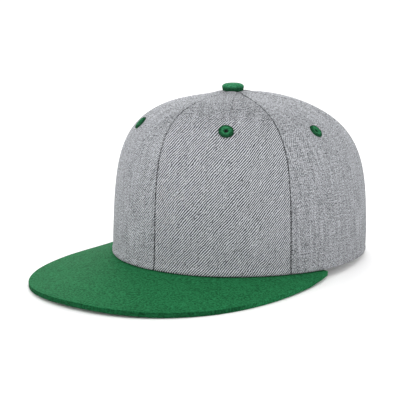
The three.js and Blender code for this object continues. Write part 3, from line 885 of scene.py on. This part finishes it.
def snap_distances(side):
    """Places of a strap's snaps along the rim from the middle of the back."""
    opening = bpy.context.scene.cap_opening
    reach = opening.snap_pitch * (opening.fastened - 1) / 2
    return [side * (index * opening.snap_pitch - reach) for index in range(opening.snaps)]


def snap_place(distance, level):
    """A snap's centre on a strap's outer face, and its outward direction."""
    opening = bpy.context.scene.cap_opening
    turn = back_turn(distance, strap_levels()[1])
    plan = rim_point(turn, level)
    out = (rim_point(turn) - plan).normalized()
    return Vector((*plan, opening.strap_bottom + opening.strap_height / 2)), Vector((*out, 0))


def strap_mesh(side, level, holes):
    """A strap from its sewn tab to its rounded free end, with holes if it has them."""
    opening = bpy.context.scene.cap_opening
    outer, inner = strap_levels()
    reach = opening.snap_pitch * (opening.fastened - 1) / 2
    start = opening_edge() + opening.strap_tab
    whole = start + reach + opening.strap_tip
    middle = opening.strap_bottom + opening.strap_height / 2
    steps = opening.strap_columns
    turns = [back_turn((start - whole * step / steps) * side, inner) for step in range(steps + 1)]
    bm = bmesh.new()
    inner_plan = bm.verts.layers.float_vector.new("inner_plan")
    bmesh.ops.create_grid(bm, x_segments=steps, y_segments=opening.strap_rows, size=0.5)
    for vert in bm.verts:
        step = grid_step(vert.co.x, steps)
        walked = whole * step / steps
        depth = mix(outer, level, smooth((opening_edge() - start + walked) / opening.strap_tab))
        # The free end is rounded off in height
        past = max(0.0, 1 - (whole - walked) / (opening.strap_height * opening.tip_round))
        narrow = mix(1 - opening.tip_narrow, 1, math.sqrt(max(0.0, 1 - past**2)))
        height = middle + vert.co.y * opening.strap_height * narrow
        vert.co = Vector((*rim_point(turns[step], depth), height))
        vert[inner_plan] = Vector((*rim_point(turns[step], depth + opening.strap_wall), 0))
    for distance in snap_distances(side) if holes else ():
        cut_hole(bm, *snap_place(distance, level), opening.peg + opening.clearance, sides=20, reach=0.006)
    split_wide_faces(bm)
    give_wall(bm, lambda vert: Vector((*vert[inner_plan][:2], vert.co.z)))
    return bm


def peg_mesh(distance, level):
    """One mushroom peg that stands on its strap."""
    opening = bpy.context.scene.cap_opening
    root = -opening.strap_wall / 2
    head = opening.strap_wall + opening.clearance * 2
    # The head's section, by the share of its radius and the height of each point
    dome = [(0.93, 0.0001), (1, 0.0004), (0.9, 0.0008), (0.6, 0.00105), (0, 0.0011)]
    profile = [(0, root), (opening.peg, root), (opening.peg, head)]
    profile += [(opening.peg_head * out, head + up) for out, up in dome]
    bm = spun(profile, steps=28)
    stand_on(bm, *snap_place(distance, level))
    return bm


def sweatband_mesh():
    """The tape round the inside of the rim, from one strap's tab to the other's."""
    opening = bpy.context.scene.cap_opening
    trim = bpy.context.scene.cap_trim
    depth = bpy.context.scene.cap_crown.inner_room + trim.band_gap
    end = back_turn(opening_edge() + opening.strap_tab + opening.clearance, strap_levels()[1])
    columns, rows = trim.band_columns, trim.band_rows
    low_fold, high_fold = 0.0008, 0.0006
    bands = [Meridian(mix(-end, end, step / columns)) for step in range(columns + 1)]
    whole = Meridian(0).along[-1]
    bm = bmesh.new()
    normal = bm.verts.layers.float_vector.new("normal")
    climbed = bm.verts.layers.float.new("climbed")
    bmesh.ops.create_grid(bm, x_segments=columns, y_segments=rows, size=0.5)
    for vert in bm.verts:
        band = bands[grid_step(vert.co.x, columns)]
        vert.co, vert[climbed] = band.at((vert.co.y + 0.5) * trim.band / whole)
    bm.normal_update()
    for vert in bm.verts:
        vert[normal] = outward_of(vert)
    for vert in bm.verts:
        vert.co -= Vector(vert[normal]).normalized() * depth
        vert.co.z = max(vert.co.z, opening.clearance)
        if vert[climbed] < SAME_PLACE:
            vert.co.z += opening.clearance

    def inner(vert):
        to_low, to_high = vert[climbed], trim.band - vert[climbed]
        fold = quarter_roll(to_low, low_fold) + quarter_roll(to_high, high_fold)
        swollen = smooth(to_low / trim.band_puff_edge) * smooth(to_high / trim.band_puff_edge)
        inward = trim.band_wall - fold + trim.band_puff * swollen
        return vert.co - Vector(vert[normal]).normalized() * inward

    give_wall(bm, inner)
    return bm


def wave_texture(add, place, turn, period, **inputs):
    """Straight bands at that distance, turned and then bent, from 0 to 1."""
    turned = add("ShaderNodeMapping", {"vector_type": "POINT"}, Vector=place, Rotation=(0, 0, turn))
    kind = {"wave_type": "BANDS", "bands_direction": "X", "wave_profile": "SIN"}
    # At a scale of 1 the texture's sine turns by this much for each metre
    whole_turn = 20
    scale = math.tau / (whole_turn * period)
    return add("ShaderNodeTexWave", kind, Vector=turned, Scale=scale, **inputs).node.outputs["Fac"]


def node_adder(tree):
    """A function that adds a node with its settings and its input values or links."""

    def add(kind, settings=None, **inputs):
        node = tree.nodes.new(kind)
        for key, value in (settings or {}).items():
            setattr(node, key, value)
        for key, value in inputs.items():
            socket = node.inputs[int(key[1:])] if key[0] == "_" else node.inputs[key.replace("_", " ")]
            if isinstance(value, bpy.types.NodeSocket):
                tree.links.new(value, socket)
            else:
                socket.default_value = value
        return node.outputs[0] if node.outputs else node

    return add


def new_material(name):
    """An empty material, and the function that adds its nodes."""
    material = bpy.data.materials.new(name)
    material.use_nodes = True
    material.node_tree.nodes.clear()
    return material, node_adder(material.node_tree)


def maths(add, operation, first, second=0.0, third=0.0):
    """The output of one arithmetic node."""
    return add("ShaderNodeMath", {"operation": operation}, _0=first, _1=second, _2=third)


def blended(add, part, low, high):
    """Two colours mixed by a part."""
    node = add("ShaderNodeMix", {"data_type": "RGBA"}, _0=part, _6=low, _7=high)
    return node.node.outputs[2]


def fibre_noise(add, place, scale, stretch=(1, 1, 1), turn=0.0, detail=2.0):
    """Noise whose grains can be stretched and turned, from 0 to 1."""
    mapped = add("ShaderNodeMapping", {"vector_type": "POINT"}, Vector=place, Rotation=(0, 0, turn))
    stretched = add("ShaderNodeMapping", {"vector_type": "POINT"}, Vector=mapped, Scale=stretch)
    return add("ShaderNodeTexNoise", Vector=stretched, Scale=scale, Detail=detail, Roughness=0.6)


def swing(add, part, strength):
    """A part from 0 to 1 that swings evenly about nought instead, as far as the strength says."""
    return maths(add, "MULTIPLY", maths(add, "SUBTRACT", part, 0.5), strength)


def attribute(add, name):
    """What the piece's vertices say under that name."""
    return add("ShaderNodeAttribute", {"attribute_name": name}).node.outputs["Fac"]


def finish_surface(add, **inputs):
    """Ends a material with its shader, which gets these inputs."""
    add("ShaderNodeOutputMaterial", Surface=add("ShaderNodeBsdfPrincipled", **inputs))


def heather_material():
    """Grey heather twill: diagonal ribs of mixed yarn with slubs, on each panel's own flat cloth."""
    cloth = bpy.context.scene.cap_cloth
    material, add = new_material("heather_cloth")
    place = add("ShaderNodeUVMap", {"uv_map": "cloth"})
    turn = math.pi / 2 - cloth.wale_tilt
    bend = maths(add, "MULTIPLY", fibre_noise(add, place, 45), 16.0)
    crimp = {"Distortion": 1.2, "Detail": 1.0, "Detail_Scale": 2.5, "Detail_Roughness": 0.5}
    wave = wave_texture(add, place, turn, cloth.wale, Phase_Offset=bend, **crimp)
    dashes = fibre_noise(add, place, 0.75 / cloth.wale, (1, 0.35, 1), turn)
    broken = maths(add, "ADD", 1.0, swing(add, dashes, cloth.rib_breaks))
    rib = swing(add, wave, maths(add, "MULTIPLY", broken, attribute(add, "rib")))
    tone = maths(add, "MULTIPLY_ADD", rib, cloth.rib_contrast, cloth.tone)
    # Painted shade from the dim attribute
    tone = maths(add, "SUBTRACT", tone, attribute(add, "dim"))
    grains = fibre_noise(add, place, 1500, (1, 0.7, 1))
    streaks = fibre_noise(add, place, 420, (1, 0.12, 1))
    slubs = fibre_noise(add, place, 620, (0.15, 1, 1))
    clouds = fibre_noise(add, place, 140, (1, 0.15, 1))
    for layer, strength in ((streaks, 0.65), (slubs, 0.45), (grains, 2.8), (clouds, 0.15)):
        tone = maths(add, "ADD", tone, swing(add, layer, strength))
    tone = add("ShaderNodeClamp", Value=tone)
    tint = blended(add, tone, (*cloth.heather_dark, 1), (*cloth.heather_light, 1))
    # Partly painted shade: beside each seam the cloth turns to the seam's colour in broken dots, for the
    # shadow in its groove and its darker yarn ends.
    seam_width = {"From_Min": 0.0001, "From_Max": 0.0007, "To_Min": 1.0, "To_Max": 0.0}
    near_seam = add("ShaderNodeMapRange", Value=attribute(add, "seam"), **seam_width)
    uneven = maths(add, "MULTIPLY_ADD", fibre_noise(add, place, 520), 5.0, -1.7)
    tint = blended(add, maths(add, "MULTIPLY", near_seam, uneven), tint, (*cloth.seam, 1))
    # Painted shade on the crown's inner face
    inside = maths(add, "MULTIPLY", attribute(add, "lining"), cloth.inner_shade_share)
    tint = blended(add, inside, tint, (*cloth.lining, 1))
    height = maths(add, "ADD", wave, maths(add, "MULTIPLY", grains, 0.6))
    bump = add("ShaderNodeBump", Strength=0.6, Distance=0.00018, Height=height)
    gloss = {"Roughness": 0.95, "Sheen_Weight": 0.03, "Specular_IOR_Level": 0.1}
    finish_surface(add, Base_Color=tint, Normal=bump, **gloss)
    return material


def shade_of(tint):
    """The colour of the same cloth darkened for painted shade."""
    return [part * bpy.context.scene.cap_cloth.shade for part in tint]


def green_material(name, dark, light):
    """Green wool twill of the brim and button, and green thread, with a fine nap."""
    cloth = bpy.context.scene.cap_cloth
    material, add = new_material(name)
    place = add("ShaderNodeTexCoord").node.outputs["Object"]
    crimp = {"Distortion": 1.5, "Detail": 2.0, "Detail_Scale": 2.0}
    wave = wave_texture(add, place, cloth.green_tilt, cloth.green_wale, **crimp)
    nap = fibre_noise(add, place, 720, detail=3)
    grains = fibre_noise(add, place, 1700)
    clouds = fibre_noise(add, place, 60)
    tone = 0.5
    for layer, strength in ((wave, 0.3), (nap, 2.6), (grains, 2.2), (clouds, 0.3)):
        tone = maths(add, "ADD", tone, swing(add, layer, strength))
    tone = add("ShaderNodeClamp", Value=tone)
    tint = blended(add, tone, (*dark, 1), (*light, 1))
    # Painted shade: where the piece's vertices ask for it, the cloth is darkened on the brim's edge strip,
    # round the button's foot and at the eyelet stitches' ends.
    shaded = blended(add, tone, (*shade_of(dark), 1), (*shade_of(light), 1))
    tint = blended(add, attribute(add, "bound"), tint, shaded)
    height = maths(add, "ADD", maths(add, "MULTIPLY", wave, 0.6), grains)
    bump = add("ShaderNodeBump", Strength=0.5, Distance=0.0002, Height=height)
    finish_surface(add, Base_Color=tint, Normal=bump, Roughness=0.95, Specular_IOR_Level=0.03)
    return material


def plain_material(name, tint, roughness, gloss, grain, bump_height):
    """A material of one colour with a fine grain, which is darker and lighter in places."""
    material, add = new_material(name)
    place = add("ShaderNodeTexCoord").node.outputs["Object"]
    grains = fibre_noise(add, place, grain, detail=3)
    dark, light = ([part * change for part in tint] for change in GRAIN_TONES)
    colours = blended(add, grains, (*dark, 1), (*light, 1))
    bump = add("ShaderNodeBump", Strength=0.35, Distance=bump_height, Height=grains)
    finish_surface(add, Base_Color=colours, Normal=bump, Roughness=roughness, Specular_IOR_Level=gloss)
    return material


def studio_world(strength, toward):
    """A sky that lights the cap from before it, over a white floor and backdrop that run on for ever."""
    world = bpy.data.worlds.new("studio")
    world.use_nodes = True
    tree = world.node_tree
    background = tree.nodes["Background"]
    background.inputs["Color"].default_value = (1, 1, 1, 1)
    add = node_adder(tree)
    direction = add("ShaderNodeTexCoord").node.outputs["Generated"]
    ahead = add("ShaderNodeVectorMath", {"operation": "DOT_PRODUCT"}, _0=direction, _1=toward)
    half = maths(add, "MULTIPLY", maths(add, "ADD", ahead.node.outputs["Value"], 1.0), 0.5)
    light = maths(add, "MULTIPLY", maths(add, "MULTIPLY", half, half), strength)
    height = add("ShaderNodeSeparateXYZ", _0=direction).node.outputs["Z"]
    below = maths(add, "LESS_THAN", height, 0.0)
    seen = add("ShaderNodeLightPath").node.outputs["Is Camera Ray"]
    backdrop = maths(add, "MAXIMUM", below, seen)
    shown = add("ShaderNodeMix", {"data_type": "FLOAT"}, _0=backdrop, _2=light, _3=BACKDROP)
    tree.links.new(shown, background.inputs["Strength"])
    return world


def soft_light(name, direction, spread, strength):
    """A wide light that shines from that direction."""
    light = bpy.data.lights.new(name, "SUN")
    light.angle = spread
    light.energy = strength
    lamp = bpy.data.objects.new(name, light)
    lamp.rotation_euler = direction.to_track_quat("Z", "Y").to_euler()
    bpy.context.scene.collection.objects.link(lamp)


def make_camera(stage, back):
    """The camera, which stands back from its aim in that direction."""
    turn = stage.azimuth
    aim = Vector((0, ears_y() - stage.aim_forward, stage.aim_height))
    aim += Vector((math.cos(turn), math.sin(turn), 0)) * stage.aim_right
    data = bpy.data.cameras.new("camera")
    data.lens = stage.lens
    data.sensor_width = 36
    data.clip_start = 0.01
    camera = bpy.data.objects.new("camera", data)
    camera.location = aim + back * stage.distance
    camera.rotation_euler = back.to_track_quat("Z", "Y").to_euler()
    bpy.context.scene.collection.objects.link(camera)
    bpy.context.scene.camera = camera


def make_floor(paper):
    """A wide floor of plain matt paper."""
    bm = bmesh.new()
    bmesh.ops.create_grid(bm, x_segments=1, y_segments=1, size=3)
    mesh = bpy.data.meshes.new("floor")
    bm.to_mesh(mesh)
    bm.free()
    material, add = new_material("floor_paper")
    finish_surface(add, Base_Color=(*paper, 1), Roughness=1.0, Specular_IOR_Level=0)
    mesh.materials.append(material)
    floor = bpy.data.objects.new("floor", mesh)
    bpy.context.scene.collection.objects.link(floor)


class CAP_OT_stage(bpy.types.Operator):
    """Makes the camera, the floor and the lights"""

    bl_idname = "cap.stage"
    bl_label = "Make the stage"

    def execute(self, context):
        stage = context.scene.cap_stage
        turn, rise = stage.azimuth, stage.elevation
        toward = Vector((math.sin(turn), -math.cos(turn), 0))
        left = Vector((-math.cos(turn), -math.sin(turn), 0))
        up = Vector((0, 0, 1))
        make_camera(stage, toward * math.cos(rise) + up * math.sin(rise))
        make_floor(stage.paper)
        context.scene.world = studio_world(stage.sky, toward)
        soft_light("top_light", up, stage.top_spread, stage.top)
        for name, (height, leftward, behind) in LOW_LIGHTS.items():
            direction = up * height + left * leftward - toward * behind
            soft_light(f"{name}_light", direction, stage.low_spread, getattr(stage, name))
        context.scene.view_settings.view_transform = "Standard"
        return {"FINISHED"}


class CAP_OT_panels(bpy.types.Operator):
    """Makes the six sewn crown panels"""

    bl_idname = "cap.panels"
    bl_label = "Make the crown panels"

    def execute(self, context):
        material = heather_material()
        for kind in SEAMS:
            for side, word in SIDE_NAMES.items():
                bm = panel_mesh(kind, side)
                nodes = [f"panel_{kind}_{word}"]
                make_piece(bm, f"cloth_{kind}_{word}", material, nodes, sharp=60)
        return {"FINISHED"}


class CAP_OT_brim(bpy.types.Operator):
    """Makes the flat brim"""

    bl_idname = "cap.brim"
    bl_label = "Make the brim"

    def execute(self, context):
        cloth = context.scene.cap_cloth
        material = green_material("brim_cloth", cloth.green_dark, cloth.green_light)
        make_piece(brim_mesh(), "flat_brim", material, ["brim"], sharp=50)
        return {"FINISHED"}


class CAP_OT_button(bpy.types.Operator):
    """Makes the covered button"""

    bl_idname = "cap.button"
    bl_label = "Make the button"

    def execute(self, context):
        cloth = context.scene.cap_cloth
        # The button's paler colours are painted light on the brim's cloth
        material = green_material("button_cloth", cloth.lit_button_dark, cloth.lit_button_light)
        make_piece(button_mesh(), "covered_button", material, ["top_button"], sharp=50)
        return {"FINISHED"}


class CAP_OT_eyelets(bpy.types.Operator):
    """Makes the six sewn eyelets"""

    bl_idname = "cap.eyelets"
    bl_label = "Make the eyelets"

    def execute(self, context):
        cloth = context.scene.cap_cloth
        material = green_material("green_stitches", cloth.thread_dark, cloth.thread_light)
        for kind in SEAMS:
            for side, word in SIDE_NAMES.items():
                bm = eyelet_mesh(kind, side)
                nodes = [f"eyelet_{kind}_{word}"]
                make_piece(bm, f"sewn_{kind}_{word}", material, nodes, sharp=180)
        return {"FINISHED"}


class CAP_OT_sweatband(bpy.types.Operator):
    """Makes the sweatband"""

    bl_idname = "cap.sweatband"
    bl_label = "Make the sweatband"

    def execute(self, context):
        tape = context.scene.cap_cloth.tape
        material = plain_material(
            "woven_tape", tape, roughness=0.95, gloss=0.1, grain=1200, bump_height=0.0002
        )
        make_piece(sweatband_mesh(), "head_tape", material, ["sweatband"], sharp=60)
        return {"FINISHED"}


class CAP_OT_straps(bpy.types.Operator):
    """Makes the two snap straps and their pegs"""

    bl_idname = "cap.straps"
    bl_label = "Make the snap straps"

    def execute(self, context):
        plastic = context.scene.cap_cloth.plastic
        material = plain_material(
            "moulded_plastic", plastic, roughness=0.38, gloss=0.5, grain=900, bump_height=0.00003
        )
        outer, inner = strap_levels()
        for word, side, level in (("holes", RIGHT, outer), ("pegs", LEFT, inner)):
            bm = strap_mesh(side, level, word == "holes")
            nodes = [f"snap_strap_{word}"]
            strap = make_piece(bm, f"strap_with_{word}", material, nodes, sharp=45)
            bevel = strap.modifiers.new("edges", "BEVEL")
            bevel.width = context.scene.cap_opening.strap_bevel
            bevel.segments = 2
            bevel.limit_method = "ANGLE"
            bevel.angle_limit = math.radians(60)
        for index, distance in enumerate(snap_distances(LEFT)):
            make_piece(peg_mesh(distance, inner), f"peg_{index}", material, [], sharp=45)
        return {"FINISHED"}


class CAP_PT_panel(bpy.types.Panel):
    """Lists the steps that make the cap"""

    bl_label = "Snapback cap"
    bl_idname = "CAP_PT_panel"
    bl_space_type = "VIEW_3D"
    bl_region_type = "UI"
    bl_category = "Cap"

    def draw(self, context):
        for name in STEPS:
            self.layout.operator(f"cap.{name}")
        for name in SETTINGS:
            group = getattr(context.scene, name)
            for key in group.bl_rna.properties.keys():
                if key not in ("rna_type", "name"):
                    self.layout.prop(group, key)


STEPS = ("stage", "panels", "brim", "button", "eyelets", "sweatband", "straps")
SETTINGS = {
    "cap_crown": CapCrown,
    "cap_opening": CapOpening,
    "cap_brim": CapBrim,
    "cap_trim": CapTrim,
    "cap_cloth": CapCloth,
    "cap_stage": CapStage,
}
OPERATORS = (
    CAP_OT_stage,
    CAP_OT_panels,
    CAP_OT_brim,
    CAP_OT_button,
    CAP_OT_eyelets,
    CAP_OT_sweatband,
    CAP_OT_straps,
)


def register():
    """Registers the settings, the operators and the panel."""
    for name, group in SETTINGS.items():
        bpy.utils.register_class(group)
        setattr(bpy.types.Scene, name, PointerProperty(type=group))
    for operator in (*OPERATORS, CAP_PT_panel):
        bpy.utils.register_class(operator)


def unregister():
    """Takes the add-on out again."""
    for operator in reversed((*OPERATORS, CAP_PT_panel)):
        bpy.utils.unregister_class(operator)
    for name, group in SETTINGS.items():
        delattr(bpy.types.Scene, name)
        bpy.utils.unregister_class(group)


def main():
    """Makes every piece in order."""
    register()
    for name in STEPS:
        getattr(bpy.ops.cap, name)()


if __name__ == "__main__":
    main()
